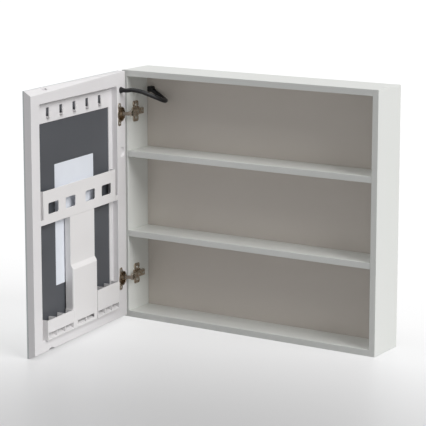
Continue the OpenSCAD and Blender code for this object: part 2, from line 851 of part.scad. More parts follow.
// A front plate with end walls that stand on the recess floor and a lip along its lower edge
module organiser_bar() {
    on_door() color("#E3E1E0") {
        difference() {
            box([bar_x0, face_y - wall, bar_z], [bar_x1, face_y, bar_z + bar_h]);
            bar_windows();
        }
        for (x = [bar_x0, bar_x1 - wall])
            box([x, rest_y, bar_z], [x + wall, face_y - wall, bar_z + bar_h]);
        box([bar_x0 + wall, face_y - 8, bar_z], [bar_x1 - wall, face_y - wall, bar_z + wall]);
        box([bar_x1, face_y - 3, bar_z], [recess_x1 - 0.3, face_y - 0.3, bar_z + bar_tab_h]);
        box([recess_x0 + 0.3, face_y - 3, bar_z], [bar_x0, face_y - 0.3, bar_z + bar_tab_h]);
    }
}

stem_x0 = recess_mid + stem_shift - stem_w / 2;
stem_x1 = stem_x0 + stem_w;
tray_front = face_y + tray_proud;

// Outline of the stem, seen along X, or of its hollow, inset by a wall
module stem_side(inset) {
    polygon([
        [rest_y - inset, recess_z0 + inset],
        [tray_front - inset, recess_z0 + inset],
        [tray_front - inset, pocket_top - pocket_slope - inset * 0.4],
        [face_y - inset, pocket_top - inset * 0.4],
        [face_y - inset, bar_z - 0.2 - inset],
        [rest_y - inset, bar_z - 0.2 - inset]
    ]);
}

module organiser_stem() {
    low = tray_slot[0] + 3;
    on_door() color("#E3E1E0") {
        difference() {
            intersection() {
                translate([stem_x0, 0, 0]) along_x(stem_w) stem_side(0);
                translate([stem_x0, rest_y, 0]) linear_extrude(bar_z)
                    rounded_front([stem_w, tray_front - rest_y], pocket_round);
            }
            translate([stem_x0 + wall, 0, 0]) along_x(stem_w - 2 * wall) stem_side(wall);
            for (s = [-1, 1])
                translate([(stem_x0 + stem_x1) / 2 + s * (1.5 + 19.5), 0, 0])
                    box([-19.5, tray_front - wall - 1, low], [19.5, tray_front + 1, tray_slot[1]]);
        }
        intersection() {
            sloping_floor(stem_x0 + wall - 0.1, stem_x1 - wall + 0.1, recess_z0 + wall - 0.1, low);
            box([stem_x0, rest_y, recess_z0], [stem_x1, tray_front - wall + 0.1, bar_z]);
        }
    }
}

module rounded_front(size, r) {
    square([size[0], size[1] - r]);
    translate([r, 0]) square([size[0] - 2 * r, size[1]]);
    for (x = [r, size[0] - r]) translate([x, size[1] - r]) circle(r);
}

// A floor that rises from the slot's lower edge towards the mirror, so that water runs out
module sloping_floor(x0, x1, z0, low) {
    translate([x0, 0, 0]) along_x(x1 - x0)
        polygon([[rest_y, z0], [tray_front, z0], [tray_front, low], [rest_y, low + floor_rise]]);
}

module tray(x0, x1, top) {
    chamber = (x1 - x0 - wall) / tray_chambers;
    sloping_floor(x0, x1, recess_z0, tray_slot[0]);
    box([x0, tray_front - wall, tray_slot[1]], [x1, tray_front, top]);
    for (i = [0 : tray_chambers])
        box([x0 + i * chamber, rest_y, tray_slot[0]],
            [x0 + i * chamber + wall, i % tray_chambers == 0 ? tray_front : tray_front - 0.4, top]);
}

module tray_free_side() {
    on_door() color("#E3E1E0") tray(stem_x1 + 0.2, bar_x1, tray_top[0]);
}

module tray_hinge_side() {
    on_door() color("#E3E1E0") tray(bar_x0, stem_x0 - 0.2, tray_top[1]);
}

// Light behind the mirror

module light_strip(x) {
    y = frame_back_y + channel_depth;
    on_door() color("#F4F1DC") {
        box([x - strip_w / 2, y - 1, channel_z0 + 4], [x + strip_w / 2, y, channel_z1 - 4]);
        for (z = [channel_z0 + 20 : 25 : channel_z1 - 20])
            box([x - 2.5, y - strip_t, z - 2.5], [x + 2.5, y - 1, z + 2.5]);
    }
}

module light_strip_left() {
    light_strip(channel_xs[0]);
}

module light_strip_right() {
    light_strip(channel_xs[1]);
}

module light_diffusers() {
    on_door() color("#FAFAF6") for (x = channel_xs)
        box([x - channel_w / 2 + 0.1, frame_back_y, channel_z0 + 0.2],
            [x + channel_w / 2 - 0.1, frame_back_y + diffuser_t, channel_z1 - 0.2]);
}

// Cable parts

gland_neck_d = 14;
gland_flange_t = 1.6;

module door_gland() {
    on_door() color("#2B2B2B") translate([door_x0 + gland_from_edge, 0, gland_z]) {
        translate([0, frame_back_y + 4, 0]) rod_y(gland_neck_d, face_y - frame_back_y - 4);
        translate([0, face_y, 0]) rod_y(gland_flange_d, gland_flange_t);
        translate([0, face_y + gland_flange_t, 0]) rotate([-90, 0, 0])
            cylinder(d1 = cable_d + 4, d2 = cable_d + 2, h = gland_out - gland_flange_t);
    }
}

function unit(v) = v / norm(v);
function side_of(t) = unit(cross([0, 0, 1], t));
function ring_at(p, t, r, n) = [
    for (k = [0 : n - 1]) let (a = 360 * k / n) p + r * (cos(a) * side_of(t) + sin(a) * cross(t, side_of(t)))
];

module tube(route, r, n) {
    last = len(route) - 1;
    ways = [for (i = [0 : last]) unit(route[min(i + 1, last)] - route[max(i - 1, 0)])];
    points = [for (i = [0 : last]) each ring_at(route[i], ways[i], r, n)];
    walls = [
        for (i = [0 : last - 1], k = [0 : n - 1]) let (m = (k + 1) % n)
            each [[i * n + k, (i + 1) * n + k, (i + 1) * n + m], [i * n + k, (i + 1) * n + m, i * n + m]]
    ];
    caps = [
        for (k = [1 : n - 2]) each [[0, k, k + 1], [last * n, last * n + k + 1, last * n + k]]
    ];
    polyhedron(points = points, faces = concat(walls, caps));
}

module door_cable() {
    home() color("#2D2D2D") tube(cable_route, cable_d / 2, 12);
}

side_panel_left();
side_panel_right();
top_panel();
bottom_panel();
back_panel();
corner_dowels();
shelf_upper();
shelf_lower();
shelf_pins();
hanging_rail();
lower_rail();
hanging_plate_left();
hanging_plate_right();
hanging_screws();
led_driver();
driver_screws();
cable_boot();
hinge_plate_upper();
hinge_plate_lower();
hinge_plate_screws();
hinge_arm_upper();
hinge_arm_lower();
arm_adjusters();
arm_pins();
hinge_link_upper();
hinge_link_lower();
door_frame();
mirror_glass();
mirror_film();
demister_pad();
glass_tape();
hinge_cup_upper();
hinge_cup_lower();
cup_screws();
door_hooks();
organiser_bar();
organiser_stem();
tray_free_side();
tray_hinge_side();
light_strip_left();
light_strip_right();
light_diffusers();
door_gland();
door_cable();
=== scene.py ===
# %% [markdown]
# # A lighted mirror cabinet
# A wall-hung cabinet of coated board with a mirror door on two cup hinges. The door stands open
# and shows its moulded inner side. The construction model comes in as a fixed frame of named
# pieces, in metres. Nothing here moves them: a piece whose shape is right gets its finish, and
# one that needs softer or richer form gets a new piece in exactly the same place.

# %% Load the frame
import json
import math
import bmesh
import bpy
from mathutils import Matrix, Vector


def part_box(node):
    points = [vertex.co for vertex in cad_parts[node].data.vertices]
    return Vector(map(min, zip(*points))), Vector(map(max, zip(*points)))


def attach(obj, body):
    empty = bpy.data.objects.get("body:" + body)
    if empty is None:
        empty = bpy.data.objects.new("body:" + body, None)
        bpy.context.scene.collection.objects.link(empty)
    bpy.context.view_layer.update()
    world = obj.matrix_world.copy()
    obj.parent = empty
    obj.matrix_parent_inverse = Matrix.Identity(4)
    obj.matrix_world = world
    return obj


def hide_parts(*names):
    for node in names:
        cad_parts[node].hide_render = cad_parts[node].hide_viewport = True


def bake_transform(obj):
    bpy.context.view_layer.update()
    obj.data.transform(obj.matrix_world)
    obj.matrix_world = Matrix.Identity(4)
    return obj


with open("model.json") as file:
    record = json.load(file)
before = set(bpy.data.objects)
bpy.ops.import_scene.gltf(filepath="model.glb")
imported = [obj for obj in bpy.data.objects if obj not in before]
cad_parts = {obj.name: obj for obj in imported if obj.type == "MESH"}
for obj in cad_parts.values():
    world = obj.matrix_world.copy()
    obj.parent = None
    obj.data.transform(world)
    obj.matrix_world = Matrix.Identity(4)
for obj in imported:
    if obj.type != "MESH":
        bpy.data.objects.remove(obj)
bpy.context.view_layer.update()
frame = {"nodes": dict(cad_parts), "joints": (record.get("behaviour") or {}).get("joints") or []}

# %% [markdown]
# ## Places
# The drawing measures in millimetres from the carcase's lower left front corner, with the door
# shut. The frame has its origin on the wall and the door open. Two small functions go from one to
# the other, so that every length below can be read beside the drawing. The corner and the door's
# turning line are read from the frame, never typed.

# %% Places
MM = 0.001
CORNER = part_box("side_panel_left")[0]
TURNING_LINE = Vector(next(j["pos_m"] for j in frame["joints"] if j["name"] == "door_hinge"))
OPEN_ANGLE = math.radians(-84)
DOOR_TURN = (
    Matrix.Translation(TURNING_LINE)
    @ Matrix.Rotation(OPEN_ANGLE, 4, "Z")
    @ Matrix.Translation(-TURNING_LINE)
)


def place(x, y, z):
    """A point of the drawing, in millimetres, as a point of the frame."""
    return CORNER + Vector((x, y, z)) * MM


def on_door(x, y, z):
    """The same for a point of the shut door, carried to where the open door has it."""
    return DOOR_TURN @ place(x, y, z)


print("corner", tuple(round(v, 4) for v in CORNER), "turning line", tuple(TURNING_LINE))

# %% [markdown]
# ## Objects
# Everything that is added to the scene is added in the same way.

# %% Objects
def new_object(name, data):
    """An object with that data, in the scene."""
    made = bpy.data.objects.new(name, data)
    bpy.context.scene.collection.objects.link(made)
    return made


# %% [markdown]
# ## Camera
# The photograph was taken from the right, slightly above, with a long lens. Its uprights are
# exactly upright, which a tilted camera can't give without a very large lens shift. A small shift
# and the remaining tilt keep the object centred in every other view as well. The place is in the
# drawing's coordinates, the angles are in radians and the focal length is in pixels.

# %% Camera
CAMERA_AT = (2679.6, -3759.4, 1207.7)
CAMERA_TURN = 0.5685
CAMERA_TILT = 0.1761
FRAME_PX = 426
FOCAL_PX = 1807.4
SHIFT_Y = -0.1
SENSOR_WIDTH = 36.0
NEAREST_SEEN = 0.05

camera = new_object("camera", bpy.data.cameras.new("camera"))
camera.data.sensor_width = SENSOR_WIDTH
camera.data.lens = SENSOR_WIDTH * FOCAL_PX / FRAME_PX
camera.data.shift_y = SHIFT_Y
camera.data.clip_start = NEAREST_SEEN
camera.location = place(*CAMERA_AT)
camera.rotation_euler = (math.pi / 2 - CAMERA_TILT, 0, CAMERA_TURN)
bpy.context.scene.camera = camera
print("lens", round(camera.data.lens, 1), "mm")

# %% [markdown]
# ## Nodes and colours
# Colours are written as they look on screen, in sRGB, and one function turns them to the linear
# numbers that shaders use. One function adds a node with its settings and links: a value that is
# a socket becomes a link, and any other value is set on the socket itself.

# %% Nodes and colours
def colour(code):
    """An sRGB hex colour as linear RGBA."""
    parts = [int(code[i : i + 2], 16) / 255 for i in (1, 3, 5)]
    linear = [c / 12.92 if c <= 0.04045 else ((c + 0.055) / 1.055) ** 2.4 for c in parts]
    return (*linear, 1.0)


def add(tree, kind, inputs=None, **settings):
    """Adds a node. Settings are its properties, and inputs its sockets by name or number."""
    node = tree.nodes.new(kind)
    for name, value in settings.items():
        setattr(node, name, value)
    for name, value in (inputs or {}).items():
        if isinstance(value, bpy.types.NodeSocket):
            tree.links.new(value, node.inputs[name])
        else:
            node.inputs[name].default_value = value
    return node


def bare_tree(owner):
    """The node tree of a material or of the world, with nothing in it."""
    owner.use_nodes = True
    owner.node_tree.nodes.clear()
    return owner.node_tree


def new_finish(name, shader):
    """A material with one Principled shader, and the coordinates of the object it is on."""
    material = bpy.data.materials.new(name)
    tree = bare_tree(material)
    principled = add(tree, "ShaderNodeBsdfPrincipled", shader)
    add(tree, "ShaderNodeOutputMaterial", {"Surface": principled.outputs["BSDF"]})
    here = add(tree, "ShaderNodeTexCoord").outputs["Object"]
    print("finish:", name)
    return material, tree, principled, here


# %% [markdown]
# ## Patterns
# Three things make a plain surface real: its colour isn't quite even, its gloss isn't quite even,
# and it has a fine relief. Each comes from noise whose size is given in millimetres, because the
# object's own coordinates are metres. A picture of a surface could do the same, but noise needs
# no file and no UV map, and never repeats. It seldom leaves the middle of its range, so the gloss
# is spread over NOISE_RANGE.

# %% Patterns
NOISE_RANGE = (0.3, 0.7)


def grain(tree, here, size, detail=2.0, stretch=(1, 1, 1)):
    """Noise with blobs about size millimetres across, longer along an axis where asked."""
    along = [1 / s for s in stretch]
    mapped = add(tree, "ShaderNodeMapping", {"Vector": here, "Scale": along}).outputs["Vector"]
    inputs = {"Vector": mapped, "Scale": 1 / (size * MM), "Detail": detail}
    return add(tree, "ShaderNodeTexNoise", inputs).outputs[0]


def blended(tree, mask, first, second):
    """From the first of two numbers or colours, where the mask is 0, to the second at 1."""
    kind, a, b, out = ("RGBA", 6, 7, 2) if isinstance(second, tuple) else ("FLOAT", 2, 3, 0)
    mix = add(tree, "ShaderNodeMix", {0: mask, a: first, b: second}, data_type=kind)
    return mix.outputs[out]


def tint(tree, principled, pattern, first, second):
    """The base colour goes from the first to the second with the pattern."""
    mixed = blended(tree, pattern, colour(first), colour(second))
    tree.links.new(mixed, principled.inputs["Base Color"])


def gloss(tree, principled, pattern, low, high):
    """The roughness goes from low to high with the pattern."""
    start, end = NOISE_RANGE
    inputs = {"Value": pattern, "From Min": start, "From Max": end, "To Min": low, "To Max": high}
    ranged = add(tree, "ShaderNodeMapRange", inputs)
    tree.links.new(ranged.outputs[0], principled.inputs["Roughness"])


def relief(tree, principled, pattern, depth, strength):
    """A bump of that depth in millimetres."""
    inputs = {"Height": pattern, "Distance": depth * MM, "Strength": strength}
    bump = add(tree, "ShaderNodeBump", inputs)
    tree.links.new(bump.outputs["Normal"], principled.inputs["Normal"])


# %% [markdown]
# ## Board
# The carcase is particle board with a white melamine foil: satin, with a fine pearl of under a
# millimetre that breaks up reflections. The back is a thin board with a duller, warmer coat. The
# slow clouds in both are the slight unevenness of a large sheet.

# %% Board
def melamine_foil():
    material, tree, principled, here = new_finish("white_melamine_foil", {"IOR": 1.5})
    pearl = grain(tree, here, size=0.9, detail=3.0)
    cloud = grain(tree, here, size=140.0, detail=1.0)
    tint(tree, principled, cloud, "#E4E6E2", "#E9EAE7")
    gloss(tree, principled, cloud, low=0.40, high=0.48)
    relief(tree, principled, pearl, depth=0.03, strength=0.5)
    return material


def back_board_coat():
    material, tree, principled, here = new_finish("matt_grey_board_coat", {"IOR": 1.48})
    cloud = grain(tree, here, size=180.0)
    fibre = grain(tree, here, size=1.6, detail=3.0)
    tint(tree, principled, cloud, "#D8D0C8", "#DED7CF")
    gloss(tree, principled, cloud, low=0.55, high=0.68)
    relief(tree, principled, fibre, depth=0.04, strength=0.5)
    return material


foil = melamine_foil()
back_coat = back_board_coat()

# %% [markdown]
# ## Raw wood
# Beech dowels have short dark flecks along the grain. The rails behind the back panel are
# plywood, whose face veneer runs along the rail. Noise that is stretched along the grain gives
# both, where a texture of waves would look too even.

# %% Raw wood
ALONG_GRAIN = (12, 1, 1)


def wood(name, light, dark, ring, fleck):
    """Wood whose grain runs along X, with rings and flecks of a width in millimetres."""
    material, tree, principled, here = new_finish(name, {"IOR": 1.45, "Roughness": 0.62})
    bands = grain(tree, here, size=ring, detail=4.0, stretch=ALONG_GRAIN)
    flecks = grain(tree, here, size=fleck, stretch=ALONG_GRAIN)
    tint(tree, principled, bands, light, dark)
    relief(tree, principled, flecks, depth=0.08, strength=0.6)
    return material


beech = wood("raw_beech", "#D3AC7C", "#B98A5A", ring=3.0, fleck=0.8)
veneer = wood("raw_birch_veneer", "#DFC79C", "#C9AA78", ring=5.0, fleck=1.0)

# %% [markdown]
# ## Moulded plastic
# The door frame is moulded ABS and the fittings clipped into it are polystyrene, a little warmer
# and lighter. The driver's case is polycarbonate and the light diffusers are opal acrylic. Their
# moulds are spark eroded, which leaves a fine grain and a satin surface. Modelled, the grain
# would take millions of faces, so it is a bump a fortieth of a millimetre deep.

# %% Moulded plastic
MOULD_GRAIN = 0.7
GLOSS_SPREAD = 0.07


def moulded_plastic(name, first, second, rough):
    """Satin plastic with the fine grain of a spark-eroded mould."""
    material, tree, principled, here = new_finish(name, {"IOR": 1.52})
    cloud = grain(tree, here, size=90.0, detail=1.0)
    eroded = grain(tree, here, size=MOULD_GRAIN, detail=3.0)
    tint(tree, principled, cloud, first, second)
    gloss(tree, principled, cloud, low=rough, high=rough + GLOSS_SPREAD)
    relief(tree, principled, eroded, depth=0.025, strength=0.5)
    return material


frame_plastic = moulded_plastic("moulded_white_abs", "#E6E4E5", "#EAE8E9", rough=0.36)
fitting_plastic = moulded_plastic("moulded_white_polystyrene", "#E9E7E7", "#ECEAEA", rough=0.33)
housing_plastic = moulded_plastic("moulded_white_polycarbonate", "#EDEDEB", "#F1F1EF", rough=0.42)
opal = moulded_plastic("opal_acrylic", "#F2F2EE", "#F6F6F3", rough=0.30)

# %% [markdown]
# ## Metal
# The hinges are pressed steel with a nickel plate, which is warm and, inside a cabinet, mirrors
# mostly shade. That shade is painted into the nickel's base colour, which is darker than the plate
# itself, and the links between cup and arm are darker still with more painted shade. Screws, pins
# and the hanging plates are zinc plated and colder. The rolled sheet has a faint lengthwise
# drawing, and the plate dulls unevenly. A metal shows nothing but reflections, so these finishes
# are fully metallic. Zinc's base colour is the tint of the plate, and nickel's is that tint
# darkened by painted shade.

# %% Metal
DRAWN_ALONG = (1, 6, 1)
PLATE_SPREAD = 0.14


def plated_steel(name, first, second, rough, size):
    """Plated sheet with cloudy patches of a size in millimetres."""
    material, tree, principled, here = new_finish(name, {"Metallic": 1.0})
    cloud = grain(tree, here, size, detail=3.0)
    drawing = grain(tree, here, size=0.6, stretch=DRAWN_ALONG)
    tint(tree, principled, cloud, first, second)
    gloss(tree, principled, cloud, low=rough, high=rough + PLATE_SPREAD)
    relief(tree, principled, drawing, depth=0.02, strength=0.5)
    return material


# The dark, warm nickel colours are painted shade, standing in for the dark interior that the plate
# mirrors.
nickel = plated_steel("nickel_plated_steel", "#A09384", "#C4B9AA", rough=0.20, size=6.0)
# The links' still darker nickel is more of that painted shade.
link_nickel_painted_shade = plated_steel("link_nickel_with_painted_shade", "#625A52", "#7C7369", rough=0.22, size=6.0)
zinc = plated_steel("zinc_plated_steel", "#B9B7B1", "#CDCBC6", rough=0.24, size=5.0)

# %% [markdown]
# ## Rubber and foam
# The cable has a soft black jacket with a satin skin. The glazing tape is closed-cell foam. One
# function makes both, because only their colour, their gloss and their bumps differ.

# %% Rubber and foam
def rubber(name, first, second, low, high, size, depth):
    """A soft skin with bumps of a size and a depth in millimetres."""
    material, tree, principled, here = new_finish(name, {"IOR": 1.45})
    skin = grain(tree, here, size, detail=3.0)
    tint(tree, principled, skin, first, second)
    gloss(tree, principled, skin, low, high)
    relief(tree, principled, skin, depth, strength=0.7)
    return material


jacket = rubber("soft_pvc_jacket", "#0F0F10", "#171618", low=0.40, high=0.52, size=1.2, depth=0.04)
foam = rubber("closed_cell_foam", "#262626", "#343434", low=0.85, high=0.95, size=0.8, depth=0.15)

# %% [markdown]
# ## Mirror
# The glass is silvered on its back, so seen from the front it is a clear mirror. Over the two
# light strips the silver is left out and the glass is etched, which gives two pale bands. The
# bands are placed in the shut door's coordinates, so the open door is turned back first. Grey
# paint protects the silver behind, and the ground edges are dull. The bands could be faces of
# their own, but masks in the material leave the glass one plain sheet. A dark film covers the
# back inside the frame's window, and a pale heating pad keeps the mirror clear of steam.

# %% Mirror
BAND_WIDTH = 12.0
BAND_FROM_EDGE = 19.0
BAND_ENDS = (36.5, 613.5)
GLASS_SIDES = (1.0, 451.0)
GLASS_ENDS = (0.0, 649.0)
GLASS_BACK = -20.5
PAINT_REACH = 0.2
GROUND_RIM = 0.5
SILVER = ("#DDE3E3", 0.02)
ETCHED = ("#EEF2F1", 0.55)
BACK_PAINT = ("#43474A", 0.5)
GROUND_EDGE = ("#CDD3D3", 0.45)


def shut_door_axes(tree, here):
    """Object coordinates turned back to the shut door's, as three separate numbers."""
    centre = TURNING_LINE
    moved = add(tree, "ShaderNodeVectorMath", {0: here, 1: centre}, operation="SUBTRACT").outputs[0]
    inputs = {"Vector": moved, "Angle": -OPEN_ANGLE}
    turned = add(tree, "ShaderNodeVectorRotate", inputs, rotation_type="Z_AXIS").outputs[0]
    back = add(tree, "ShaderNodeVectorMath", {0: turned, 1: centre}, operation="ADD").outputs[0]
    return add(tree, "ShaderNodeSeparateXYZ", {0: back}).outputs


def inside(tree, value, low, high):
    """1 where the value lies between two numbers, else 0."""
    middle, half = (low + high) / 2, (high - low) / 2
    away = add(tree, "ShaderNodeMath", {0: value, 1: middle}, operation="SUBTRACT").outputs[0]
    size = add(tree, "ShaderNodeMath", {0: away}, operation="ABSOLUTE").outputs[0]
    return add(tree, "ShaderNodeMath", {0: size, 1: half}, operation="LESS_THAN").outputs[0]


def joined(tree, operation, first, *others):
    """Masks made into one: MULTIPLY keeps where all of them hold, MAXIMUM where any does."""
    for other in others:
        first = add(tree, "ShaderNodeMath", {0: first, 1: other}, operation=operation).outputs[0]
    return first


def glass_masks(tree, here):
    """Where the glass is etched, where its painted back is, and where its ground edges are."""
    x, y, z = shut_door_axes(tree, here)
    left, right = (place(side, 0, 0).x for side in GLASS_SIDES)
    low, high = (place(0, 0, end).z for end in GLASS_ENDS)
    inset, half, rim = BAND_FROM_EDGE * MM, BAND_WIDTH / 2 * MM, GROUND_RIM * MM
    bands = [inside(tree, x, at - half, at + half) for at in (left + inset, right - inset)]
    tall = inside(tree, z, *(place(0, 0, end).z for end in BAND_ENDS))
    etched = joined(tree, "MULTIPLY", joined(tree, "MAXIMUM", *bands), tall)
    back_at, reach = place(0, GLASS_BACK, 0).y, PAINT_REACH * MM
    back = inside(tree, y, back_at - reach, back_at + reach)
    across = inside(tree, x, left + rim, right - rim)
    upward = inside(tree, z, low + rim, high - rim)
    middle = joined(tree, "MULTIPLY", across, upward)
    edge = add(tree, "ShaderNodeMath", {0: 1.0, 1: middle}, operation="SUBTRACT").outputs[0]
    return etched, back, edge


def silvered_glass():
    """Silver, then etched bands, then back paint, then ground edges, each laid over the last."""
    material, tree, principled, here = new_finish("silvered_float_glass", {"IOR": 1.5})
    look, rough, metal = colour(SILVER[0]), SILVER[1], 1.0
    layers = zip(glass_masks(tree, here), (ETCHED, BACK_PAINT, GROUND_EDGE))
    for mask, (code, dull) in layers:
        look = blended(tree, mask, look, colour(code))
        rough = blended(tree, mask, rough, dull)
        metal = blended(tree, mask, metal, 0.0)
    for value, socket in ((look, "Base Color"), (rough, "Roughness"), (metal, "Metallic")):
        tree.links.new(value, principled.inputs[socket])
    return material


def safety_film():
    material, tree, principled, here = new_finish("dark_safety_film", {"IOR": 1.5})
    cloud = grain(tree, here, size=60.0, detail=3.0)
    orange_peel = grain(tree, here, size=2.2)
    tint(tree, principled, cloud, "#4D4F54", "#54575C")
    gloss(tree, principled, cloud, low=0.34, high=0.42)
    relief(tree, principled, orange_peel, depth=0.02, strength=0.5)
    return material


def heating_pad():
    material, tree, principled, here = new_finish("pale_heating_foil", {"IOR": 1.5})
    cloud = grain(tree, here, size=40.0)
    waves = grain(tree, here, size=5.0, detail=1.0)
    tint(tree, principled, cloud, "#E4E8F0", "#EAEEF5")
    gloss(tree, principled, cloud, low=0.38, high=0.46)
    relief(tree, principled, waves, depth=0.05, strength=0.5)
    return material


mirror = silvered_glass()
film = safety_film()
pad = heating_pad()
strip_board = moulded_plastic("strip_board_lacquer", "#EFEBD4", "#F4F1E0", rough=0.35)

# %% [markdown]
# ## Finishes on the frame's own pieces
# A piece whose shape is right keeps it, and only its material changes.

# %% Finishes on the frame's own pieces
def dress(material, *names):
    """Gives frame pieces a finish, and leaves their shape alone."""
    for name in names:
        piece = frame["nodes"][name]
        if not piece.material_slots:
            piece.data.materials.append(material)
        for slot in piece.material_slots:
            slot.material = material
    print(material.name, "on", ", ".join(names))


dress(back_coat, "back_panel")
dress(beech, "corner_dowels")
dress(veneer, "hanging_rail", "lower_rail")
dress(zinc, "shelf_pins", "hanging_plate_left", "hanging_plate_right", "arm_pins")
dress(housing_plastic, "led_driver")
dress(mirror, "mirror_glass")
dress(film, "mirror_film")
dress(pad, "demister_pad")
dress(foam, "glass_tape")
dress(strip_board, "light_strip_left", "light_strip_right")
dress(opal, "light_diffusers")

# %% [markdown]
# ## Softened copies
# No real edge is a knife edge: foil wraps round the board's corners and a mould leaves a radius.
# Those radii catch the light as the thin bright lines that show in a photograph. The drawing
# could have them, but every round edge would make its solids heavier, so they come in here. A
# copy of the piece's mesh is merged and its flat faces are joined. Then the sharp edges are
# marked by a weight, and a Bevel modifier rounds those. Tiny edges, such as the rims of screw
# holes, stay as they are, and so do the edges inside the boxes named in STAYS_SHARP. A flat face
# with many corners is cut into triangles, and the rounded edges don't slide along those cuts,
# which would fold thin slivers over. The largest faces then lead the shading, so that they stay
# flat.

# %% Softened copies
MERGE_DISTANCE = 0.005
SHORTEST_EDGE = 0.4
FLAT_WITHIN = math.radians(0.5)
ROUNDED_FROM = math.radians(30)
SHADED_SHARP_FROM = math.radians(16)
LARGE_FACES_LEAD = 100
MOST_CORNERS = 4


def as_piece(name, mesh, material, body, node):
    """Shows a finished mesh as a piece that rides on a body and stands in a node's place."""
    piece = new_object(name, mesh)
    mesh.materials.clear()
    mesh.materials.append(material)
    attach(piece, body)
    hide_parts(node)


def plain_mesh(piece, name):
    """The piece with its modifiers worked out, as a new mesh. The piece itself goes."""
    depsgraph = bpy.context.evaluated_depsgraph_get()
    mesh = bpy.data.meshes.new_from_object(piece.evaluated_get(depsgraph))
    mesh.name = name
    bpy.data.objects.remove(piece)
    return mesh


def lies_in(edge, low, high):
    """True where both ends of the edge are inside the box."""
    return all(low[k] < vert.co[k] < high[k] for vert in edge.verts for k in range(3))


def sharp_and_free(edge, boxes):
    """True for an edge that a mould or a foil would round."""
    if len(edge.link_faces) != 2 or edge.calc_face_angle(0) < ROUNDED_FROM:
        return False
    if edge.calc_length() < SHORTEST_EDGE * MM:
        return False
    return not any(lies_in(edge, low, high) for low, high in boxes)


def merged_mesh(node, name, boxes, turned):
    """The node's mesh as whole flat faces, with the edges to round marked by their weight."""
    work = bmesh.new()
    work.from_mesh(frame["nodes"][node].data)
    verts, edges = work.verts, work.edges
    bmesh.ops.remove_doubles(work, verts=verts, dist=MERGE_DISTANCE * MM)
    bmesh.ops.dissolve_limit(work, angle_limit=FLAT_WITHIN, verts=verts, edges=edges)
    work.transform(turned.inverted())
    weight = work.edges.layers.float.new("bevel_weight_edge")
    for edge in work.edges:
        edge[weight] = sharp_and_free(edge, boxes)
    work.transform(turned)
    many_sided = [face for face in work.faces if len(face.verts) > MOST_CORNERS]
    bmesh.ops.triangulate(work, faces=many_sided)
    mesh = bpy.data.meshes.new(name)
    work.to_mesh(mesh)
    work.free()
    return mesh


def rounded_mesh(mesh, name, radius, steps):
    """The mesh with its marked edges rounded, and shaded so that its flat faces stay flat."""
    mesh.shade_smooth()
    mesh.set_sharp_from_angle(angle=SHADED_SHARP_FROM)
    draft = new_object(name, mesh)
    bevel = draft.modifiers.new("soft edges", "BEVEL")
    bevel.width = radius * MM
    bevel.segments = steps
    bevel.limit_method = "WEIGHT"
    bevel.use_clamp_overlap = False
    bevel.miter_outer = "MITER_ARC"
    bevel.loop_slide = False
    lead = draft.modifiers.new("flat faces lead", "WEIGHTED_NORMAL")
    lead.weight = LARGE_FACES_LEAD
    lead.keep_sharp = True
    return plain_mesh(draft, name)


def soften(node, material, body, radius, steps=2, boxes=()):
    """Stands a softened copy in a node's place, under the node's own name with _soft."""
    name = node + "_soft"
    turned = DOOR_TURN if body == "door" else Matrix()
    mesh = rounded_mesh(merged_mesh(node, name, boxes, turned), name, radius, steps)
    as_piece(name, mesh, material, body, node)
    print(name, "has", len(mesh.polygons), "faces")


# %% [markdown]
# ## Carcase
# The foil folds round the board with a radius of under a millimetre, and the parts' edges meet in
# fine lines at the corners.

# %% Carcase
for board in ("side_panel_left", "side_panel_right", "top_panel", "bottom_panel"):
    soften(board, foil, "carcase", radius=0.7)
for board in ("shelf_upper", "shelf_lower"):
    soften(board, foil, "carcase", radius=0.8)

# %% [markdown]
# ## Door mouldings
# Mould corners are a little under a millimetre on the frame, and less on the thin walls of the
# fittings, which have to keep their thickness. The frame's rear face lies flat on the mirror and
# stays sharp, and so do the two finger scoops, whose edges run out to nothing.

# %% Door mouldings
STAYS_SHARP = [
    (place(-10, -30, -10), place(460, -19.5, 660)),
    (place(349, -30, -10), place(403, 5, 16)),
    (place(360, -30, 630), place(392, 5, 660)),
]
FITTING_RADII = {
    "organiser_bar": 0.6, "organiser_stem": 0.4,
    "tray_free_side": 0.3, "tray_hinge_side": 0.3, "door_hooks": 0.3,
}
soften("door_frame", frame_plastic, "door", radius=0.8, boxes=STAYS_SHARP)
for fitting, edge_radius in FITTING_RADII.items():
    soften(fitting, fitting_plastic, "door", edge_radius)

# %% [markdown]
# ## Hinges
# A hinge is pressed and folded from sheet, which rounds its edges. The sheet is thin, so each
# radius stays under half its thickness. The cable's gland and boot are soft mouldings.

# %% Hinges
for side in ("upper", "lower"):
    soften("hinge_plate_" + side, nickel, "carcase", radius=0.5)
    soften("hinge_arm_" + side, nickel, "carcase", radius=0.35)
    soften("hinge_link_" + side, link_nickel_painted_shade, side + "_link", radius=0.6)
    soften("hinge_cup_" + side, nickel, "door", radius=0.3)
soften("door_gland", jacket, "door", radius=0.4)
soften("cable_boot", jacket, "carcase", radius=0.7, steps=3)

# %% [markdown]
# ## Screws
# All screws come from one Geometry Nodes tree, because their five rows differ only in a few
# numbers. It builds a shank and a head that narrows towards its top, cuts a cross recess into the
# head, and stands a copy at each place it is given. Each copy is turned round its own length by a
# different amount, from a fixed seed, because nobody stops every screw at the same angle. The
# recess is a cross of two bars, and CROSS_BAR gives a bar's length and width as shares of the
# top's radius, and its height as a share of the head's.

# %% A screw of nodes
SCREW_SOCKETS = (
    ("Places", "NodeSocketGeometry"), ("Head Radius", "NodeSocketFloat"),
    ("Top Radius", "NodeSocketFloat"), ("Head Height", "NodeSocketFloat"),
    ("Shank Radius", "NodeSocketFloat"), ("Shank Length", "NodeSocketFloat"),
    ("Outward", "NodeSocketVector"), ("Seed", "NodeSocketInt"), ("Finish", "NodeSocketMaterial"),
)
HEAD_SIDES = 32
SHANK_SIDES = 24
CROSS_BAR = (1.44, 0.32, 1.0)


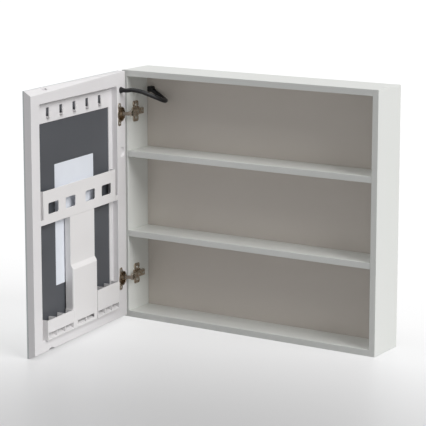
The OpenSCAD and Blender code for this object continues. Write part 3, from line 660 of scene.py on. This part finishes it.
def cross_bar(tree, given, turn):
    """One bar of the cross, as a box that reaches halfway down the head."""
    top, height = given["Top Radius"], given["Head Height"]
    extent = add(tree, "ShaderNodeCombineXYZ", {0: top, 1: top, 2: height}).outputs[0]
    inputs = {0: extent, 1: CROSS_BAR}
    size = add(tree, "ShaderNodeVectorMath", inputs, operation="MULTIPLY").outputs[0]
    bar = add(tree, "GeometryNodeMeshCube", {"Size": size}).outputs[0]
    raised = add(tree, "ShaderNodeCombineXYZ", {2: height}).outputs[0]
    inputs = {"Geometry": bar, "Translation": raised, "Rotation": (0, 0, turn)}
    return add(tree, "GeometryNodeTransform", inputs).outputs[0]


def screw_head(tree, given):
    """A flat cone with a cross cut into its top."""
    cone = add(tree, "GeometryNodeMeshCone", {
        "Vertices": HEAD_SIDES, "Radius Top": given["Top Radius"],
        "Radius Bottom": given["Head Radius"], "Depth": given["Head Height"]}).outputs[0]
    bars = [cross_bar(tree, given, turn) for turn in (0, math.pi / 2)]
    cut = add(tree, "GeometryNodeMeshBoolean", {0: cone, 1: bars[0]}, operation="DIFFERENCE")
    tree.links.new(bars[1], cut.inputs[1])
    return cut.outputs[0]


def screw_shank(tree, given):
    """A round bar from the seat downwards."""
    length = given["Shank Length"]
    inputs = {"Vertices": SHANK_SIDES, "Radius": given["Shank Radius"], "Depth": length}
    bar = add(tree, "GeometryNodeMeshCylinder", inputs).outputs[0]
    down = add(tree, "ShaderNodeMath", {0: length, 1: -0.5}, operation="MULTIPLY").outputs[0]
    below = add(tree, "ShaderNodeCombineXYZ", {2: down}).outputs[0]
    return add(tree, "GeometryNodeTransform", {"Geometry": bar, "Translation": below}).outputs[0]


def turned_outward(tree, given):
    """A screw's turning: its head outward, and another angle round its length at each place."""
    inputs = {"Max": math.tau, "Seed": given["Seed"]}
    angle = add(tree, "FunctionNodeRandomValue", inputs, data_type="FLOAT")
    spin = add(tree, "ShaderNodeCombineXYZ", {2: next(o for o in angle.outputs if o.enabled)})
    upright = add(tree, "FunctionNodeAlignRotationToVector", {"Vector": given["Outward"]}, axis="Z")
    inputs = {"Rotation": upright.outputs[0], "Rotate By": spin.outputs[0]}
    return add(tree, "FunctionNodeRotateRotation", inputs, rotation_space="LOCAL").outputs[0]


def screw_tree():
    """A tree that stands a screw at each place."""
    tree = bpy.data.node_groups.new("screws", "GeometryNodeTree")
    for name, kind in SCREW_SOCKETS:
        tree.interface.new_socket(name, in_out="INPUT", socket_type=kind)
    tree.interface.new_socket("Screws", in_out="OUTPUT", socket_type="NodeSocketGeometry")
    given = add(tree, "NodeGroupInput").outputs
    turned = turned_outward(tree, given)
    screw = add(tree, "GeometryNodeJoinGeometry", {0: screw_head(tree, given)})
    tree.links.new(screw_shank(tree, given), screw.inputs[0])
    inputs = {"Points": given["Places"], "Instance": screw.outputs[0], "Rotation": turned}
    row = add(tree, "GeometryNodeInstanceOnPoints", inputs).outputs[0]
    real = add(tree, "GeometryNodeRealizeInstances", {0: row}).outputs[0]
    plated = add(tree, "GeometryNodeSetMaterial", {"Geometry": real, "Material": given["Finish"]})
    add(tree, "NodeGroupOutput", {0: plated.outputs[0]})
    return tree


SCREWS = screw_tree()
print("screw tree:", len(SCREWS.nodes), "nodes")

# %% [markdown]
# Each row of screws gets its places and sizes. The places are the drawing's. The sizes are in
# millimetres: a head's radius, the radius of its top and its height, and a shank's radius and
# length. A screw on the door is placed on the shut door and carried with it.

# %% Rows of screws
SIZE_NAMES = ("Head Radius", "Top Radius", "Head Height", "Shank Radius", "Shank Length")
SCREW_SHARP_FROM = math.radians(30)


def screw_row(node, body, seats, outward, head, shank, seed):
    """Stands new screws in a node's place."""
    places = bpy.data.meshes.new(node + "_places")
    places.from_pydata(seats, [], [])
    draft = new_object(node + "_draft", places)
    values = {name: size * MM for name, size in zip(SIZE_NAMES, (*head, *shank))}
    values |= {"Outward": tuple(outward), "Seed": seed, "Finish": zinc}
    maker = draft.modifiers.new("screws", "NODES")
    maker.node_group = SCREWS
    for socket in SCREWS.interface.items_tree:
        if socket.name in values:
            maker[socket.identifier] = values[socket.name]
    name = node + "_cross_head"
    mesh = plain_mesh(draft, name)
    mesh.shade_smooth()
    mesh.set_sharp_from_angle(angle=SCREW_SHARP_FROM)
    as_piece(name, mesh, zinc, body, node)
    print(name, "has", len(seats), "screws")


HINGE_HEIGHTS = (540, 110)
CUP_SCREWS = {"x": 31.5, "y": -0.8, "up_and_down": 22.5}
PLATE_SCREWS = {"x": 18.2, "y": 37, "up_and_down": 16}
ADJUSTERS = {"x": 27.5, "ys": (32, 51)}
DRIVER_SCREWS = {"xs": (24, 186), "y": 99.3, "z": 541}
HANGING_SCREWS = {"plates": (90, 650), "sideways": 17, "y": 114.8, "zs": (578, 628)}
DOOR_OUTWARD = DOOR_TURN.to_3x3() @ Vector((0, 1, 0))
RIGHTWARD = (1, 0, 0)
REARWARD = (0, 1, 0)


def hinge_seats(spot, x, y, up_and_down):
    """Two seats at each hinge, below and above its middle."""
    return [spot(x, y, z + dz) for z in HINGE_HEIGHTS for dz in (-up_and_down, up_and_down)]


def hanging_seats(plates, sideways, y, zs):
    """Four seats at each hanging plate."""
    return [place(x + dx, y, z) for x in plates for dx in (-sideways, sideways) for z in zs]


adjuster_seats = [place(ADJUSTERS["x"], y, z) for z in HINGE_HEIGHTS for y in ADJUSTERS["ys"]]
driver_seats = [place(x, DRIVER_SCREWS["y"], DRIVER_SCREWS["z"]) for x in DRIVER_SCREWS["xs"]]
screw_row("cup_screws", "door", hinge_seats(on_door, **CUP_SCREWS), DOOR_OUTWARD,
          head=(3.2, 2.3, 0.6), shank=(1.5, 10.2), seed=3)
screw_row("hinge_plate_screws", "carcase", hinge_seats(place, **PLATE_SCREWS), RIGHTWARD,
          head=(4, 3, 2), shank=(2.5, 13.2), seed=5)
screw_row("arm_adjusters", "carcase", adjuster_seats, RIGHTWARD,
          head=(2.5, 2.3, 0.8), shank=(2.5, 3.5), seed=7)
screw_row("driver_screws", "carcase", driver_seats, REARWARD,
          head=(3, 2.7, 1.8), shank=(1.6, 3), seed=11)
screw_row("hanging_screws", "carcase", hanging_seats(**HANGING_SCREWS), REARWARD,
          head=(1.7, 1.6, 1.2), shank=(1.5, 10.8), seed=13)

# %% [markdown]
# ## Door cable
# The cable to the mirror's light leaves the gland on the door, makes one loop beside the hinge
# and enters the boot on the back panel. It is one soft tube. Its middle line is the drawing's
# list of points, joined by a curve that passes through all of them, and its rings stand square to
# that curve. A curve with a round bevel would look the same, and this one is built as a tube of
# rings.

# %% Door cable
CABLE_DIAMETER = 11.0
GLAND_HEIGHT = 602.0
CABLE_SIDES = 24
CABLE_STEPS = 6
CABLE_SHARP_FROM = math.radians(50)
CABLE_POINTS = [
    (27.2, -32.7, 0), (37, -31.7, 0), (49.3, -29, 1.6), (62.2, -25.3, 0.8), (74.6, -20.3, -1.7),
    (86, -14.2, -6.2), (96, -6.5, -11.4), (103.9, 3.1, -16.9), (108.7, 14.6, -22.3),
    (109.7, 27.3, -26.8), (106.8, 40.1, -29.7), (100.6, 51.9, -30.6), (92.1, 62.3, -31),
    (82.4, 71.4, -30.3), (71.5, 78.7, -27.9), (59.7, 83.5, -23.8), (49, 85.5, -18.9),
    (43.9, 85.5, -15.8),
]


def through(points, steps):
    """A Catmull-Rom curve through the points, with that many steps between two of them."""
    ends = [2 * points[0] - points[1], *points, 2 * points[-1] - points[-2]]
    line = []
    for a, b, c, d in zip(ends, ends[1:], ends[2:], ends[3:]):
        for k in range(steps):
            t = k / steps
            line.append(
                0.5 * (2 * b + (c - a) * t + (2 * a - 5 * b + 4 * c - d) * t**2
                       + (3 * b - a - 3 * c + d) * t**3)
            )
    return line + [points[-1]]


def lengths_along(line):
    """How far along the line each of its points is."""
    lengths = [0.0]
    for before, after in zip(line, line[1:]):
        lengths.append(lengths[-1] + (after - before).length)
    return lengths


def rings_round(work, line, radius, sides):
    """A ring of corners round each point of the line, square to it."""
    rings = []
    for before, middle, after in zip([line[0], *line], line, [*line[1:], line[-1]]):
        way = (after - before).normalized()
        across = Vector((0, 0, 1)).cross(way).normalized()
        upward = way.cross(across)
        ring = []
        for k in range(sides):
            angle = math.tau * k / sides
            spoke = math.cos(angle) * across + math.sin(angle) * upward
            ring.append(work.verts.new(middle + radius * spoke))
        rings.append(ring)
    return rings


def tube_mesh(name, line, radius, sides):
    """A closed tube round the line, with a UV map that runs along it in metres."""
    work = bmesh.new()
    rings, lengths = rings_round(work, line, radius, sides), lengths_along(line)
    uv = work.loops.layers.uv.new("along")
    for i, (near, far) in enumerate(zip(rings, rings[1:])):
        for k in range(sides):
            m = (k + 1) % sides
            face = work.faces.new((near[k], near[m], far[m], far[k]))
            corners = ((k, i), (k + 1, i), (k + 1, i + 1), (k, i + 1))
            for loop, (u, v) in zip(face.loops, corners):
                loop[uv].uv = (u / sides, lengths[v])
    work.faces.new(list(reversed(rings[0])))
    work.faces.new(rings[-1])
    bmesh.ops.recalc_face_normals(work, faces=work.faces)
    mesh = bpy.data.meshes.new(name)
    work.to_mesh(mesh)
    work.free()
    mesh.shade_smooth()
    mesh.set_sharp_from_angle(angle=CABLE_SHARP_FROM)
    return mesh, lengths[-1]


cable_stops = [place(x, y, GLAND_HEIGHT + rise) for x, y, rise in CABLE_POINTS]
cable_line = through(cable_stops, CABLE_STEPS)
cable_radius = CABLE_DIAMETER / 2 * MM
cable_mesh, cable_length = tube_mesh("door_cable_jacket", cable_line, cable_radius, CABLE_SIDES)
cable_mesh.materials.append(jacket)
cable = new_object("door_cable_jacket", cable_mesh)
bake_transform(cable)
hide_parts("door_cable")
print("cable", round(cable_length / MM), "mm")

# %% [markdown]
# ## Room
# The floor is a plain sheet that runs far beyond the frame, so no horizon shows, and it takes the
# object's soft shadow. A studio's paper sweep is pale and catches more light further back. The
# floor's own glow stands in for both: it rises from a low level in front of the cabinet, and only
# rays that show the room see it. So the ground looks pale and the background white, and neither
# throws light up at the object.

# %% Room
FLOOR_DROP = 0.4
FLOOR_REACH = 30.0
PAPER = "#A2A2A3"
WHITE = "#FFFFFF"
ROOM_LIGHT = 0.22
FRONT_OF_SWEEP = (0.35, -1.25, 0.0)
SWEEP_STARTS = 0.39
SWEEP_ENDS = 1.5
SWEEP_GLOW = (0.23, 0.60)


def seen_directly(tree):
    """1 for rays that show the room rather than light the object by it."""
    path = add(tree, "ShaderNodeLightPath").outputs
    rays = [path[kind] for kind in ("Is Camera Ray", "Is Glossy Ray", "Is Transmission Ray")]
    return joined(tree, "MAXIMUM", *rays)


def studio_floor():
    """Paper that glows more the further it lies from the front of the sweep."""
    material = bpy.data.materials.new("pale_floor")
    tree = bare_tree(material)
    inputs = {"Base Color": colour(PAPER), "Roughness": 0.4, "IOR": 1.35}
    sheet = add(tree, "ShaderNodeBsdfPrincipled", inputs).outputs[0]
    here = add(tree, "ShaderNodeTexCoord").outputs["Object"]
    inputs = {0: here, 1: (1, 1, 0)}
    flat = add(tree, "ShaderNodeVectorMath", inputs, operation="MULTIPLY").outputs[0]
    inputs = {0: flat, 1: FRONT_OF_SWEEP}
    away = add(tree, "ShaderNodeVectorMath", inputs, operation="DISTANCE").outputs["Value"]
    inputs = {"Value": away, "From Min": SWEEP_STARTS, "From Max": SWEEP_ENDS,
              "To Min": SWEEP_GLOW[0], "To Max": SWEEP_GLOW[1]}
    rise = add(tree, "ShaderNodeMapRange", inputs, interpolation_type="SMOOTHSTEP").outputs[0]
    lift = joined(tree, "MULTIPLY", seen_directly(tree), rise)
    glow = add(tree, "ShaderNodeEmission", {"Strength": lift}).outputs[0]
    both = add(tree, "ShaderNodeAddShader", {0: sheet, 1: glow}).outputs[0]
    add(tree, "ShaderNodeOutputMaterial", {"Surface": both})
    return material


def studio_world():
    """A weak even light all round, which shows itself as white."""
    world = bpy.data.worlds.new("studio")
    tree = bare_tree(world)
    light, shown = (
        add(tree, "ShaderNodeBackground", {"Color": colour(WHITE), "Strength": strength}).outputs[0]
        for strength in (ROOM_LIGHT, 1.0)
    )
    both = add(tree, "ShaderNodeMixShader", {0: seen_directly(tree), 1: light, 2: shown}).outputs[0]
    add(tree, "ShaderNodeOutputWorld", {"Surface": both})
    return world


floor_mesh = bpy.data.meshes.new("floor")
floor_z = CORNER.z - FLOOR_DROP * MM
floor_sides = ((-1, -1), (1, -1), (1, 1), (-1, 1))
floor_corners = [(x * FLOOR_REACH, y * FLOOR_REACH, floor_z) for x, y in floor_sides]
floor_mesh.from_pydata(floor_corners, [], [(0, 1, 2, 3)])
floor_mesh.materials.append(studio_floor())
floor = new_object("floor", floor_mesh)
bpy.context.scene.world = studio_world()
bpy.context.scene.view_settings.view_transform = "Standard"
print("floor at", round(floor_z, 4), "m")

# %% [markdown]
# ## Light
# In the photograph the faces towards the right are twice as bright as those towards the front,
# and no shadow has a hard edge. That is one very wide soft light, high on the right. The shelves
# are brighter towards their right ends, where the open door doesn't stand in the way, so a weaker
# wide light comes from high on the left. A Sun with a wide angle gives this softness everywhere
# and has no near side, so it is as strong on the door as on the carcase's far end.

# %% Light
LIGHTS = {
    "key_light": {"comes_from": (0.79, -0.07, 0.61), "width": 42, "strength": 2.4},
    "left_light": {"comes_from": (-0.45, -0.30, 0.84), "width": 40, "strength": 0.55},
}
LAMP_DISTANCE = 3


def soft_sun(name, comes_from, width, strength):
    """A wide lamp that shines from a direction. The width is in degrees."""
    lamp = new_object(name, bpy.data.lights.new(name, "SUN"))
    lamp.data.angle = math.radians(width)
    lamp.data.energy = strength
    lamp.location = Vector(comes_from) * LAMP_DISTANCE
    lamp.rotation_euler = (-Vector(comes_from)).to_track_quat("-Z", "Y").to_euler()


for lamp_name, lamp_values in LIGHTS.items():
    soft_sun(lamp_name, **lamp_values)
print("lights:", ", ".join(LIGHTS))
